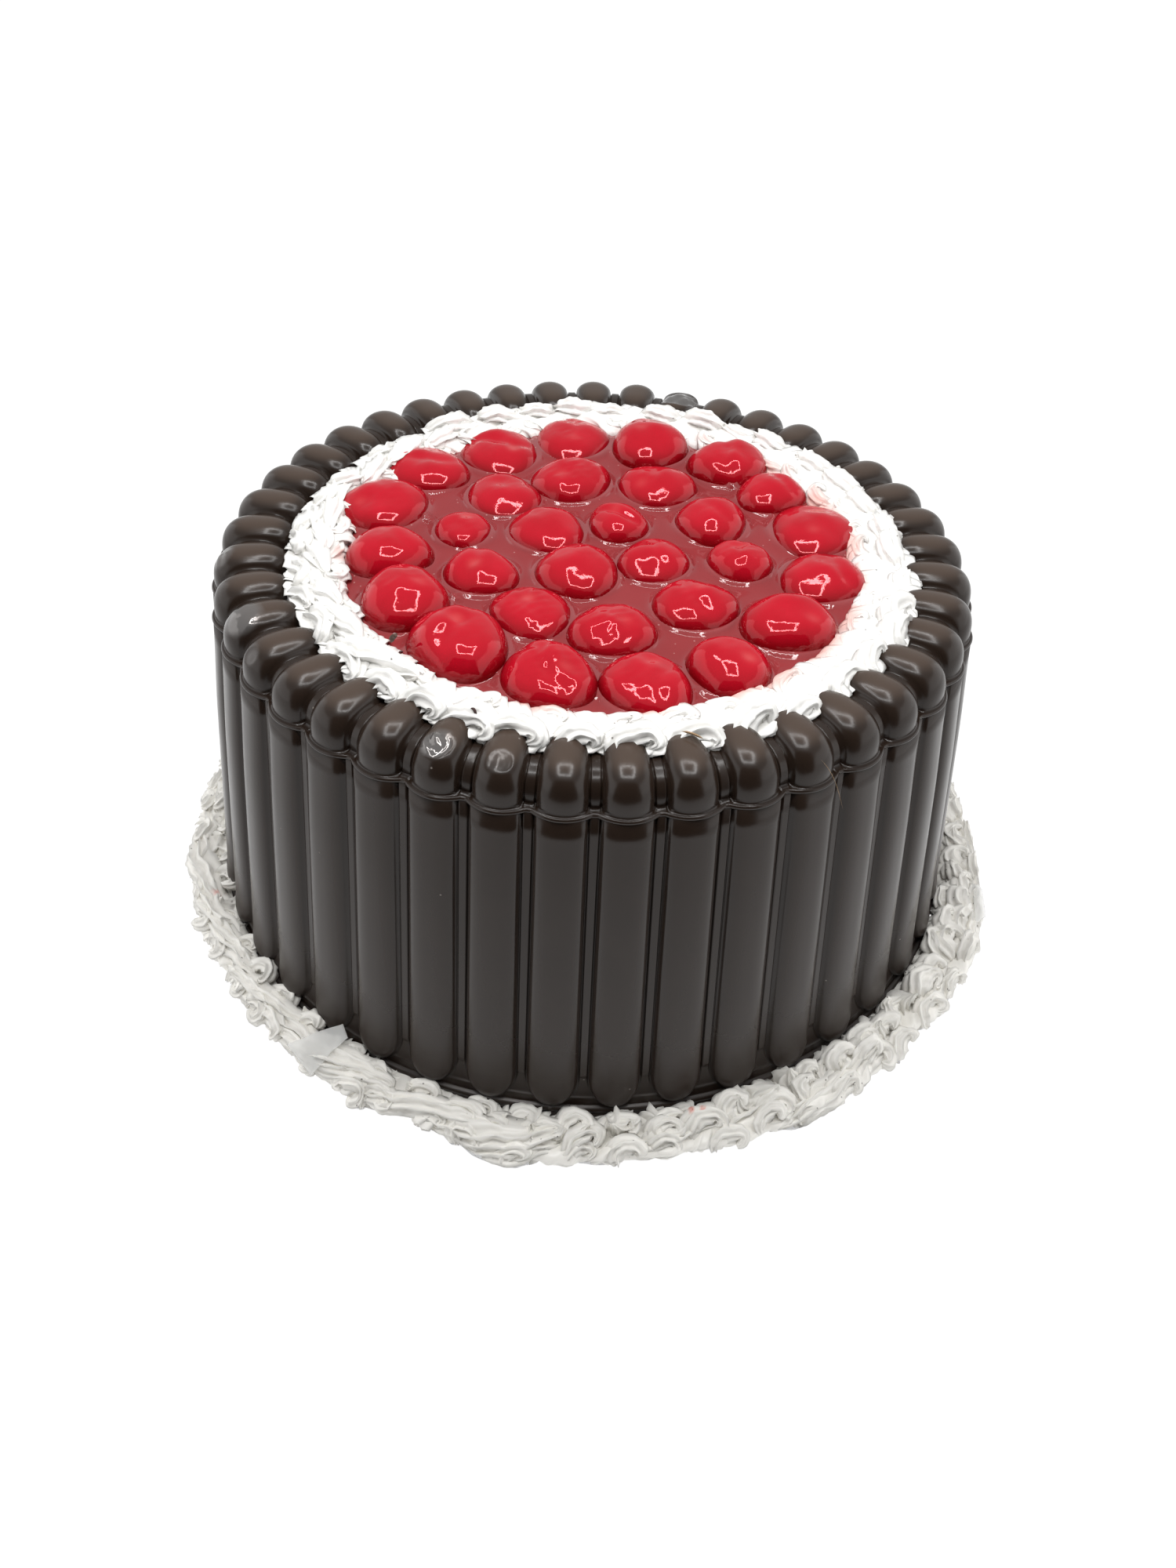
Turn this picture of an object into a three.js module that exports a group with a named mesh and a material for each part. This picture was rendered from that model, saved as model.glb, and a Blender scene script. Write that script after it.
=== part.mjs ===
// Black forest cake for display: a chocolate wall of moulded fingers, two piped cream rings
// and thirty glazed cherries set in dark jelly.
// Millimetres, +Z up, z = 0 on the table, the box centred on the origin, front towards -Y.
// An angle runs from -Y towards +X.

import * as THREE from 'three';

// The wall of fingers
const FINGERS = 41;
const FIRST_GAP = 0.0301;
const BEAD_Z = 98;
const OUT_OF_ROUND = [0.0141, 0.0029];
const DRAFT = 0.0995;
const COLUMN_R = 99.1;
const STRIP_R = 96.65;
const PLINTH = { radius: 106.8, height: 3.6, neck: 105.2 };
const COLUMN_END = { low: 7, round: 13.6, tuck: 1.2 };
const BEAD = { under: 2.2, drop: 0.6, column: 98.8, strip: 96.7 };

// The finger tips: rounded logs round the rim, with a narrow strip between two tips
const TIP = { middle: 87.5, half: 10, height: 10.4, power: 2.8 };
const TIP_STRIP = { middle: 87.5, half: 8.4, height: 8.2, power: 2.8 };
const TIP_STEPS = [0, 18, 40, 65, 95, 125, 150];
const PLATE = { radius: 77.3, height: 3 };

// Across one finger: [share of the pitch, share of the relief]
const ACROSS = [[0, 0], [0.1, -0.25], [0.19, 0.58], [0.5, 1], [0.81, 0.58], [0.9, -0.25]];

// The cream ring on top and the jelly inside it
const TOP_CENTRE = [2, 0.5];
const TOP_SHELLS = 56;
const TOP_STEPS = 3;
const TOP_RING = { inner: 68.2, crown: 74.6, lip: 79.6, foot: 76.7 };
const TOP_RISE = { side: 7.2, crown: 10.4, lip: 9.3, under: 7.4 };
const TOP_WAVE = { rise: 1.3, out: 1.1 };
const JELLY = { radius: 67.4, sides: 40, level: 6 };

// The cream ring at the foot
const BASE_CENTRE = [2.1, 1.4];
const BASE_SHELLS = 48;
const BASE_STEPS = 3;
const BASE_RING = { outer: 121.6, shoulder: 118.2, inner: 108.2 };
const BASE_RISE = { outer: 2.6, shoulder: 7, crown: 9.8 };
const BASE_WAVE = { rise: 1.4, out: 1.1 };

// Cherries in three rings round the top centre: [turn in degrees, width, rise over the jelly]
const CHERRY_RINGS = [
  {
    radius: 58,
    push: 2.5,
    cherries: [
      [11, 19.5, 6.5, 1], [31, 18.5, 7.5, 1], [55, 22.5, 7.5, -0.4], [79, 20, 5.5, 0.2],
      [102, 20, 5, 0.2], [122.5, 18.5, 6, -1], [142, 19.5, 7.5, 0], [167, 19, 8, -0.6],
      [190, 20.5, 4.5, 0.2], [213, 20.5, 5, -0.4], [235, 20, 5.5, 1.6], [256, 20.5, 6, 1.6],
      [280, 21.5, 8, -0.7], [302, 21, 9, -0.3], [325, 22, 9, 0], [349, 22, 7, 0.4],
    ],
  },
  {
    radius: 35.5,
    push: 2.5,
    cherries: [
      [5, 21, 6, 1.2], [42, 20, 6, 0], [81, 18, 6, 0.5], [115, 20, 7, -1.2], [155, 21.5, 5.5, -0.2],
      [196, 21, 6, -0.5], [230, 18, 4.5, 0.4], [263, 14.5, 4.5, 0.9], [297, 18.5, 5.5, -0.3],
      [332, 19, 5, 0.3],
    ],
  },
  {
    radius: 14.5,
    push: 2.5,
    cherries: [[63, 19, 5.5, 0.3], [159, 16, 6, -1.3], [247, 19, 5, 0.7], [335, 19, 6.5, 0]],
  },
];
const CHERRY_SIDES = 12;
const CHERRY_DOME = [[1, 0], [0.93, 0.5], [0.64, 0.86]];
const CHERRY_LOBES = 0.035;

const CLEAR = 0.3;

// Steady pseudo-random numbers from 0 to 1
function seeded(seed) {
  let state = seed;
  return () => {
    state = (state * 1664525 + 1013904223) % 4294967296;
    return state / 4294967296;
  };
}

// A point at a radius and angle round a centre
function around([x, y], radius, angle, z) {
  return new THREE.Vector3(x + radius * Math.sin(angle), y - radius * Math.cos(angle), z);
}

// How far the wall is out of round at an angle
function roundness(angle) {
  return 1 - OUT_OF_ROUND[0] * Math.cos(2 * angle) + OUT_OF_ROUND[1] * Math.sin(2 * angle);
}

// A closed skin over loops of equal count. The ends are closed with fans, the top one raised to
// a given height where one is given, or the last loop is joined to the first.
function skin(loops, { joined = false, top = null } = {}) {
  const count = loops[0].length;
  const points = loops.flat();
  const faces = [];
  const last = joined ? loops.length : loops.length - 1;
  for (let row = 0; row < last; row += 1) {
    const next = (row + 1) % loops.length;
    for (let k = 0; k < count; k += 1) {
      const a = row * count + k;
      const b = row * count + ((k + 1) % count);
      const c = next * count + ((k + 1) % count);
      const d = next * count + k;
      faces.push(a, b, c, a, c, d);
    }
  }
  if (!joined) {
    const ends = [loops[0], loops[loops.length - 1]];
    ends.forEach((loop, end) => {
      const middle = new THREE.Vector3();
      loop.forEach((point) => middle.addScaledVector(point, 1 / count));
      if (end === 1 && top !== null) middle.z = top;
      const centre = points.length;
      points.push(middle);
      const start = end === 0 ? 0 : (loops.length - 1) * count;
      for (let k = 0; k < count; k += 1) {
        const a = start + k;
        const b = start + ((k + 1) % count);
        faces.push(centre, ...(end === 0 ? [b, a] : [a, b]));
      }
    });
  }
  const geometry = new THREE.BufferGeometry();
  geometry.setAttribute('position', new THREE.Float32BufferAttribute(
    points.flatMap((point) => point.toArray()), 3));
  geometry.setIndex(faces);
  geometry.computeVertexNormals();
  return geometry;
}

// A point on a rounded log's section, from its outer foot (0) over the top (90) to the inner foot
function logPoint(log, degrees) {
  const t = THREE.MathUtils.degToRad(degrees);
  const bend = 2 / log.power;
  const along = Math.sign(Math.cos(t)) * Math.abs(Math.cos(t)) ** bend;
  return [log.middle + log.half * along, BEAD_Z + log.height * Math.abs(Math.sin(t)) ** bend];
}

// Wall rows from the table up, each with the section of a finger and of a strip
function wallRows() {
  const column = (z) => COLUMN_R + DRAFT * (BEAD_Z - z);
  const strip = (z) => STRIP_R + DRAFT * (BEAD_Z - z);
  const { low, round, tuck } = COLUMN_END;
  const rows = [
    [[PLINTH.radius, 0], [PLINTH.radius, 0]],
    [[PLINTH.radius, PLINTH.height], [PLINTH.radius, PLINTH.height]],
    [[PLINTH.neck, PLINTH.height + 0.9], [PLINTH.neck, PLINTH.height + 0.9]],
    [[column(round) - tuck, low], [strip(round), low]],
    [[column(round), round], [strip(round), round]],
    [[column(BEAD_Z - BEAD.under), BEAD_Z - BEAD.under], [strip(BEAD_Z), BEAD_Z - BEAD.under]],
    [[BEAD.column, BEAD_Z - BEAD.drop], [BEAD.strip, BEAD_Z - BEAD.drop]],
  ];
  TIP_STEPS.forEach((step) => rows.push([logPoint(TIP, step), logPoint(TIP_STRIP, step)]));
  const edge = [PLATE.radius, BEAD_Z + PLATE.height];
  rows.push([edge, edge]);
  return rows;
}

function fingerWall() {
  const pitch = (2 * Math.PI) / FINGERS;
  const loops = wallRows().map(([finger, strip]) => {
    const loop = [];
    for (let k = 0; k < FINGERS; k += 1) {
      ACROSS.forEach(([share, relief]) => {
        const angle = FIRST_GAP + (k + share) * pitch;
        const radius = strip[0] + relief * (finger[0] - strip[0]);
        const z = strip[1] + relief * (finger[1] - strip[1]);
        loop.push(around([0, 0], radius * roundness(angle), angle, z));
      });
    }
    return loop;
  });
  return skin(loops);
}

// Every cherry's place and size
function cherryPlaces() {
  return CHERRY_RINGS.flatMap(({ radius, push, cherries }) => cherries.map(
    ([turn, width, rise, out]) => {
      const angle = THREE.MathUtils.degToRad(turn);
      const distance = radius + push * out;
      return { angle, distance, at: around(TOP_CENTRE, distance, angle, 0), width, rise };
    }));
}

// A squashed cherry standing out of the jelly, slightly lobed
function cherry({ at, width, rise }, random) {
  const turn = random() * Math.PI;
  const floor = BEAD_Z + JELLY.level + CLEAR;
  const loops = CHERRY_DOME.map(([share, lift]) => {
    const loop = [];
    for (let k = 0; k < CHERRY_SIDES; k += 1) {
      const angle = (k / CHERRY_SIDES) * 2 * Math.PI;
      const lobe = 1 - CHERRY_LOBES * (1 + Math.cos(2 * (angle - turn)));
      loop.push(around([at.x, at.y], (width / 2) * share * lobe, angle,
        floor + lift * (rise - CLEAR)));
    }
    return loop;
  });
  return skin(loops, { top: BEAD_Z + JELLY.level + rise });
}

// The inner edge of the top ring, pressed outward where a cherry leans on it
function innerEdge(angle, places) {
  return places.reduce((edge, { angle: turn, distance, width }) => {
    const reach = width / 2 + 2 * CLEAR;
    const aside = distance * Math.sin(angle - turn);
    const ahead = distance * Math.cos(angle - turn);
    if (ahead < 0 || Math.abs(aside) >= reach) return edge;
    return Math.max(edge, ahead + Math.sqrt(reach ** 2 - aside ** 2));
  }, TOP_RING.inner);
}

// Piped shells in a row: each swells fast and dies away, the size drawn anew for each
function shellWave(column, steps, sizes) {
  const step = column % steps;
  const shape = [0.1, 1, 0.55][step];
  return shape * sizes[Math.floor(column / steps)];
}

function topPiping(places) {
  const random = seeded(7);
  const sizes = Array.from({ length: TOP_SHELLS }, () => 0.65 + 0.55 * random());
  const columns = TOP_SHELLS * TOP_STEPS;
  const angles = Array.from({ length: columns }, (_, k) => (k / columns) * 2 * Math.PI);
  const plate = BEAD_Z + PLATE.height + CLEAR;
  const onWall = (radius, angle, z) => around([0, 0], radius * roundness(angle), angle, z);
  const loops = [
    angles.map((angle) => onWall(TOP_RING.foot, angle, plate)),
    angles.map((angle) => onWall(TOP_RING.foot + 0.5, angle, BEAD_Z + TOP_RISE.under)),
    angles.map((angle, k) => {
      const wave = shellWave(k, TOP_STEPS, sizes);
      const shift = TOP_CENTRE[0] * Math.sin(angle) * 0.6;
      return onWall(TOP_RING.lip + shift + TOP_WAVE.out * wave, angle,
        BEAD_Z + TOP_RISE.lip + 0.35 * (shift + 1.2) + 0.6 * wave);
    }),
    angles.map((angle, k) => around(TOP_CENTRE, TOP_RING.crown, angle,
      BEAD_Z + TOP_RISE.crown + TOP_WAVE.rise * shellWave(k, TOP_STEPS, sizes))),
    angles.map((angle) => around(TOP_CENTRE, innerEdge(angle, places) + 0.6, angle,
      BEAD_Z + TOP_RISE.side)),
    angles.map((angle) => around(TOP_CENTRE, innerEdge(angle, places), angle, plate)),
  ];
  return skin(loops, { joined: true });
}

function basePiping() {
  const random = seeded(11);
  const sizes = Array.from({ length: BASE_SHELLS }, () => 0.4 + 0.8 * random());
  const columns = BASE_SHELLS * BASE_STEPS;
  const angles = Array.from({ length: columns }, (_, k) => (k / columns) * 2 * Math.PI);
  const waves = angles.map((_, k) => shellWave(k, BASE_STEPS, sizes));
  const lean = (angle, z) => around([0, 0], BASE_RING.inner * roundness(angle) + CLEAR, angle, z);
  const outer = (k, radius, z) => around(BASE_CENTRE, radius, angles[k], z);
  const loops = [
    angles.map((_, k) => outer(k, BASE_RING.outer - 1 + BASE_WAVE.out * waves[k], 0)),
    angles.map((_, k) => outer(k, BASE_RING.outer + BASE_WAVE.out * waves[k], BASE_RISE.outer)),
    angles.map((_, k) => outer(k, BASE_RING.shoulder + BASE_WAVE.out * waves[k],
      BASE_RISE.shoulder + 0.6 * waves[k])),
    angles.map((angle, k) => {
      const point = lean(angle, BASE_RISE.crown + BASE_WAVE.rise * waves[k]);
      return point.lerp(outer(k, BASE_RING.shoulder, point.z), 0.35);
    }),
    angles.map((angle, k) => lean(angle, BASE_RISE.crown - 0.8 + waves[k])),
    angles.map((angle) => lean(angle, 0)),
  ];
  return skin(loops, { joined: true });
}

function jelly() {
  const low = BEAD_Z + PLATE.height + CLEAR;
  const loops = [low, BEAD_Z + JELLY.level].map((z) => Array.from({ length: JELLY.sides },
    (_, k) => around(TOP_CENTRE, JELLY.radius, (k / JELLY.sides) * 2 * Math.PI, z)));
  return skin(loops);
}

function solid(name, geometry, colour, roughness) {
  const material = new THREE.MeshStandardMaterial({ color: colour, roughness, metalness: 0 });
  material.name = name;
  const mesh = new THREE.Mesh(geometry, material);
  mesh.name = name;
  return mesh;
}

const places = cherryPlaces();
const random = seeded(3);
const group = new THREE.Group();
group.name = 'black_forest_cake';
group.add(solid('finger_wall', fingerWall(), 0x35241f, 0.32));
group.add(solid('jelly', jelly(), 0x5c0f12, 0.08));
group.add(solid('top_piping', topPiping(places.slice(0, 16)), 0xe9e4dc, 0.45));
group.add(solid('base_piping', basePiping(), 0xd9d6cd, 0.5));
places.forEach((place, index) => {
  const name = `cherry_${String(index + 1).padStart(2, '0')}`;
  group.add(solid(name, cherry(place, random), 0xb5121b, 0.12));
});

// The whole is centred on the origin in plan
const middle = new THREE.Box3().setFromObject(group).getCenter(new THREE.Vector3());
group.children.forEach((mesh) => mesh.geometry.translate(-middle.x, -middle.y, 0));

export default group;
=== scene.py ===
"""Black forest cake for display, dressed over its solids.

Shapes are worked out in millimetres as numpy surfaces and stored in metres. An angle runs from
-Y towards +X round the wall's axis, and a height over the bead is written z.
"""

import bpy
import numpy as np
from mathutils import Matrix, Vector


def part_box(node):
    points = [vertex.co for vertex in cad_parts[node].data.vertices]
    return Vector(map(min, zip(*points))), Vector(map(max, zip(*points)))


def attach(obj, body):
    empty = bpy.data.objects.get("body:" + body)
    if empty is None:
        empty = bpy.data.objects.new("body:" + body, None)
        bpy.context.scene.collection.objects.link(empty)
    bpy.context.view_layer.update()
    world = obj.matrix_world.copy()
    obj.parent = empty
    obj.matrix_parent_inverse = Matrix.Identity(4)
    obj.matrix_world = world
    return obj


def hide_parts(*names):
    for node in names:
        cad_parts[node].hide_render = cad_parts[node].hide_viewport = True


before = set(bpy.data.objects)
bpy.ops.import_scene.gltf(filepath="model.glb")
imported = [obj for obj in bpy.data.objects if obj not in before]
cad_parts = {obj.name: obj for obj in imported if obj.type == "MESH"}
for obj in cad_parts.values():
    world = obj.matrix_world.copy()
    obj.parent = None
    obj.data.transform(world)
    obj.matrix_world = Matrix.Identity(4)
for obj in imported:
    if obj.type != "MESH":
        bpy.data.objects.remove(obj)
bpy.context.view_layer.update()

MM = 0.001

# The wall's fingers round the whole turn, and the angle of the gap before the first
FINGERS = 41
PITCH = 2 * np.pi / FINGERS
FIRST_GAP = 0.0301

# Heights over the bead
FLOOR = -98.0
JELLY_LEVEL = 6.0

CHERRIES = [name for name in sorted(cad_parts) if name.startswith("cherry_")]

# How far the middles of the jelly and of the two piped rings lie from the wall's axis
JELLY_OFFSET = np.array([2.0, 0.5])
TOP_OFFSET = np.array([1.9, -3.4])
BASE_OFFSET = np.array([2.1, 1.4])

# The wall's radius swells with twice the angle: the cosine's share and the sine's
OUT_OF_ROUND = (-0.0141, 0.0029)


def box_mm(node):
    """The lowest and highest corner of a solid, in millimetres."""
    low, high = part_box(node)
    return np.array(low) / MM, np.array(high) / MM


jelly_low, jelly_high = box_mm("jelly")
AXIS = (jelly_low[:2] + jelly_high[:2]) / 2 - JELLY_OFFSET


# Shapes


def smooth(start, end, x):
    """Rises from 0 at start to 1 at end, level at both."""
    t = np.clip((x - start) / (end - start), 0, 1)
    return t * t * (3 - 2 * t)


def dome(q, power=2.3):
    """The height of a superellipse of half-width 1 at q from its middle, 0 outside."""
    return np.maximum(0, 1 - np.abs(q) ** power) ** (1 / power)


def bell(x, middle, width):
    """A bell curve: 1 at the middle, dying away over the width on both sides."""
    return np.exp(-(((x - middle) / width) ** 2))


def drift(points, size, seed, octaves=3):
    """A smooth random value near -1 to 1: sums of sines of random direction, each octave half
    the size and half as strong as the one before."""
    waves = 6
    usual_peak = 3.5
    rng = np.random.default_rng(seed)
    total = np.zeros(points.shape[:-1])
    for octave in range(octaves):
        for _ in range(waves):
            way = rng.normal(size=3)
            way *= 2 * np.pi * 2**octave / size / np.linalg.norm(way)
            total += np.sin(points @ way + rng.uniform(0, 2 * np.pi)) / 2**octave
    return total / usual_peak


def roundness(angle):
    """The wall's plan is slightly out of round: the radius varies with twice the angle."""
    return 1 + OUT_OF_ROUND[0] * np.cos(2 * angle) + OUT_OF_ROUND[1] * np.sin(2 * angle)


def around(centre, radius, angle, z):
    """Points at a radius and angle round a centre in plan. Their height is given over the bead
    and stored over the floor."""
    radius, angle, z = np.broadcast_arrays(radius, angle, z)
    x = AXIS[0] + centre[0] + radius * np.sin(angle)
    y = AXIS[1] + centre[1] - radius * np.cos(angle)
    return np.stack([x, y, z - FLOOR], axis=-1)


def plan_distance(points, spot):
    """How far points lie in plan from a spot that is measured from the wall's axis."""
    return np.hypot(points[..., 0] - AXIS[0] - spot[0], points[..., 1] - AXIS[1] - spot[1])


def grid_faces(rows, columns, wrap_rows=False):
    """Four-cornered faces of a grid of points stored row by row. Each row is a closed ring, and
    the last row meets the first where rows wrap."""
    r = np.arange(rows if wrap_rows else rows - 1)[:, None]
    c = np.arange(columns)[None, :]
    r1 = (r + 1) % rows
    c1 = (c + 1) % columns
    corners = [r * columns + c, r * columns + c1, r1 * columns + c1, r1 * columns + c]
    return np.stack([np.broadcast_to(k, (r.size, c.size)) for k in corners], -1).reshape(-1, 4)


def fans(rows, columns):
    """Three-cornered faces from the first and the last row of a grid to two more points, the
    middles of those rows, which are stored after the grid."""
    k = np.arange(columns)
    after = (k + 1) % columns
    last = (rows - 1) * columns
    middle = rows * columns
    low = np.stack([np.full(columns, middle), after, k], -1)
    high = np.stack([np.full(columns, middle + 1), last + k, last + after], -1)
    return np.vstack([low, high])


def capped(points):
    """A closed skin over rings of points, bottom ring first, with a fan over each end, or one
    over several copies of such rings. A skin is points, four-cornered and three-cornered faces."""
    points = points.reshape(-1, *points.shape[-3:])
    count, rows, columns = points.shape[:3]
    ends = points[:, [0, -1]].mean(2)
    flat = np.concatenate([points.reshape(count, -1, 3), ends], 1)
    first = (np.arange(count) * flat.shape[1])[:, None, None]
    quads = (grid_faces(rows, columns) + first).reshape(-1, 4)
    triangles = (fans(rows, columns) + first).reshape(-1, 3)
    return flat.reshape(-1, 3), quads, triangles


def with_ends(values, end=0.0):
    """A mark on rings of points, with its value on the two end points of a capped skin."""
    return np.append(values.ravel(), [end, end])


def joined(*parts):
    """Several skins as one, each given with the depth of its grooves at every point."""
    skins, grooves = zip(*parts)
    firsts = np.cumsum([0] + [len(skin[0]) for skin in skins[:-1]])
    points = np.concatenate([skin[0] for skin in skins])
    quads = np.concatenate([skin[1] + first for skin, first in zip(skins, firsts)])
    triangles = np.concatenate([skin[2] + first for skin, first in zip(skins, firsts)])
    return (points, quads, triangles), np.concatenate(grooves)


def make(name, skin, finish, nodes=(), marks=None):
    """Puts a skin into a smooth mesh object that rides with the cake and stands for its
    nodes. Marks are named values, one for each point, which the finish reads."""
    points, quads, triangles = skin
    mesh = bpy.data.meshes.new(name)
    mesh.vertices.add(len(points))
    mesh.vertices.foreach_set("co", (points * MM).astype(np.float32).ravel())
    mesh.loops.add(quads.size + triangles.size)
    mesh.loops.foreach_set("vertex_index", np.concatenate([quads.ravel(), triangles.ravel()]))
    mesh.polygons.add(len(quads) + len(triangles))
    starts = [np.arange(len(quads)) * 4, quads.size + np.arange(len(triangles)) * 3]
    mesh.polygons.foreach_set("loop_start", np.concatenate(starts))
    mesh.update(calc_edges=True)
    mesh.validate()
    mesh.shade_smooth()
    for mark, values in (marks or {}).items():
        layer = mesh.attributes.new(mark, "FLOAT", "POINT")
        layer.data.foreach_set("value", values.astype(np.float32).ravel())
    mesh.materials.append(finish)
    piece = bpy.data.objects.new(name, mesh)
    bpy.context.collection.objects.link(piece)
    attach(piece, "root")
    if nodes:
        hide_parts(*nodes)


# Finishes

# Colours, and pairs of colours that cloud into each other
BROWN = ((0.018, 0.0110, 0.0078, 1), (0.024, 0.0150, 0.0105, 1))
PALE_BROWN = (0.075, 0.051, 0.038, 1)
DUST = (0.30, 0.26, 0.23, 1)
# Pale grey of worn places, also painted as highlight lines along the plinth
WORN_AND_HIGHLIGHT = (0.24, 0.23, 0.225, 1)
TOP_WHITE = ((0.85, 0.84, 0.81, 1), (0.90, 0.89, 0.865, 1))
BASE_WHITE = ((0.93, 0.91, 0.855, 1), (0.96, 0.94, 0.89, 1))
# Grey for the cream's grooves: painted shade, together with some grime
GROOVE_GRIME_AND_SHADE = (0.42, 0.40, 0.36, 1)
DIRT = (0.12, 0.10, 0.085, 1)
PINK_STAIN = (0.80, 0.42, 0.36, 1)
CHERRY_RED = ((0.40, 0.003, 0.011, 1), (0.54, 0.006, 0.021, 1))
# Dark red for the painted shade low down on the cherries
SHADED_RED = (0.18, 0.001, 0.003, 1)
SCAR_RED = (0.62, 0.09, 0.09, 1)
JELLY_RED = ((0.225, 0.033, 0.035, 1), (0.305, 0.039, 0.043, 1))
PALE_RED = (0.55, 0.30, 0.28, 1)
DARK_STALK = ((0.012, 0.006, 0.005, 1), (0.06, 0.012, 0.008, 1))
STRAW = (0.34, 0.22, 0.12, 1)
CLEAR_FILM = (0.88, 0.88, 0.865, 1)


class Wire:
    """A socket of a material's nodes. Sums on wires add Math nodes, and node() adds any other
    kind: its settings are set first, then its sockets take values or wires."""

    def __init__(self, tree, socket=None):
        self.tree = tree
        self.socket = socket

    def node(self, kind, settings=None, sockets=None, output=0):
        made = self.tree.nodes.new(kind)
        for key, value in (settings or {}).items():
            setattr(made, key, value)
        for key, value in (sockets or {}).items():
            if isinstance(value, Wire):
                self.tree.links.new(value.socket, made.inputs[key])
            else:
                made.inputs[key].default_value = value
        return Wire(self.tree, made.outputs[output])

    def output(self, number):
        """Another output of the same node."""
        return Wire(self.tree, self.socket.node.outputs[number])

    def math(self, operation, *values):
        return self.node("ShaderNodeMath", {"operation": operation}, dict(enumerate(values)))

    def __add__(self, other):
        return self.math("ADD", self, other)

    __radd__ = __add__

    def __sub__(self, other):
        return self.math("SUBTRACT", self, other)

    def __rsub__(self, other):
        return self.math("SUBTRACT", other, self)

    def __mul__(self, other):
        return self.math("MULTIPLY", self, other)

    __rmul__ = __mul__

    def step(self, start, end):
        """Rises smoothly from 0 at start to 1 at end."""
        settings = {"interpolation_type": "SMOOTHSTEP"}
        return self.node("ShaderNodeMapRange", settings, {0: self, 1: start, 2: end})

    def blend(self, first, second):
        """The first colour where this is 0 and the second where it is 1."""
        settings = {"data_type": "RGBA"}
        return self.node("ShaderNodeMix", settings, {0: self, 6: first, 7: second}, 2)


class Finish(Wire):
    """A new material with one Principled shader. Wires start from its places on the piece."""

    def __init__(self, name, **constants):
        self.material = bpy.data.materials.new(name)
        self.material.use_nodes = True
        super().__init__(self.material.node_tree)
        self.shader = self.tree.nodes["Principled BSDF"]
        for key, value in constants.items():
            self.shader.inputs[key.replace("_", " ")].default_value = value
        self.places = self.node("ShaderNodeTexCoord", output=3)

    def mark(self, name):
        """The values of a mark that make() put on the piece."""
        return self.node("ShaderNodeAttribute", {"attribute_name": name}, output=2)

    def cloud(self, size, detail=2.0):
        """Soft noise from 0 to 1 whose lumps are about size millimetres across."""
        sockets = {"Vector": self.places, "Scale": 1 / (size * MM), "Detail": detail}
        return self.node("ShaderNodeTexNoise", None, {**sockets, "Roughness": 0.5})

    def specks(self, spacing, size, share, seed):
        """1 inside small round specks of about that size in millimetres, strewn at random: the
        distance to the nearest cell point, kept for a share of the cells."""
        shift = (seed * 0.131, seed * 0.077, seed * 0.053)
        moved = self.node("ShaderNodeVectorMath", {"operation": "ADD"}, {0: self.places, 1: shift})
        cells = self.node(
            "ShaderNodeTexVoronoi", None, {"Vector": moved, "Scale": 1 / (spacing * MM)}
        )
        chance = self.node("ShaderNodeSeparateColor", None, {0: cells.output(1)})
        near = 1 - cells.step(0.6 * size / spacing, size / spacing)
        return near * (1 - chance.step(share, share + 0.01))

    def feed(self, socket, wire):
        self.tree.links.new(wire.socket, self.shader.inputs[socket])

    def relief(self, height, depth):
        """A bump of that depth in millimetres where height is 1."""
        sockets = {"Height": height, "Distance": depth * MM, "Strength": 1.0}
        self.feed("Normal", self.node("ShaderNodeBump", None, sockets))


def chocolate_finish():
    """Satin moulded chocolate brown: a faint mottle, dust specks, duller feet, pale tops of the
    tips, and worn places shinier and greyer than the rest. The same greyer, shinier finish paints
    highlights along the plinth's thin lines."""
    paint = Finish("chocolate", IOR=1.5, Specular_IOR_Level=0.34)
    brown = paint.cloud(9, 3).blend(*BROWN)
    # Paler brown towards the tops of the tips, where the mark is set
    brown = paint.mark("pale_top").blend(brown, PALE_BROWN)
    dust = paint.specks(6, 0.3, 0.25, 1) * 0.5
    dusty = dust.blend(brown, DUST)
    # The wear mark: worn places on the tips, and painted highlight lines on the plinth
    wear_and_highlight = paint.mark("wear_and_highlight")
    paint.feed("Base Color", (wear_and_highlight * 0.8).blend(dusty, WORN_AND_HIGHLIGHT))
    paint.feed("Metallic", 0.7 * wear_and_highlight)
    height = paint.node("ShaderNodeSeparateXYZ", None, {0: paint.places}).output(2)
    foot = height.step(34 * MM, 10 * MM)
    rough = 0.18 + 0.10 * paint.cloud(4, 4) + 0.2 * dust
    paint.feed("Roughness", rough + 0.14 * foot - 0.16 * wear_and_highlight)
    paint.relief(paint.cloud(0.8, 3), 0.008)
    return paint.material


def cream_finish(name, whites, dirt, grime_and_shade):
    """Piped silicone cream: off-white, soft sheen, greyer in its grooves by painted shade and
    grime, with fine dark specks in a share of places, the dirt, and stained where red has run into
    it."""
    paint = Finish(name, Roughness=0.28, IOR=1.5)
    white = paint.cloud(14, 2).blend(*whites)
    # Greyer where the groove mark is high: painted shade in the grooves, together with some grime
    white = (paint.mark("groove") * grime_and_shade).blend(white, GROOVE_GRIME_AND_SHADE)
    specks = paint.specks(3.2, 0.32, dirt, 2) * 0.8
    paint.feed("Base Color", paint.mark("stain").blend(specks.blend(white, DIRT), PINK_STAIN))
    paint.relief(paint.cloud(1.6, 3), 0.05)
    return paint.material


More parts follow.
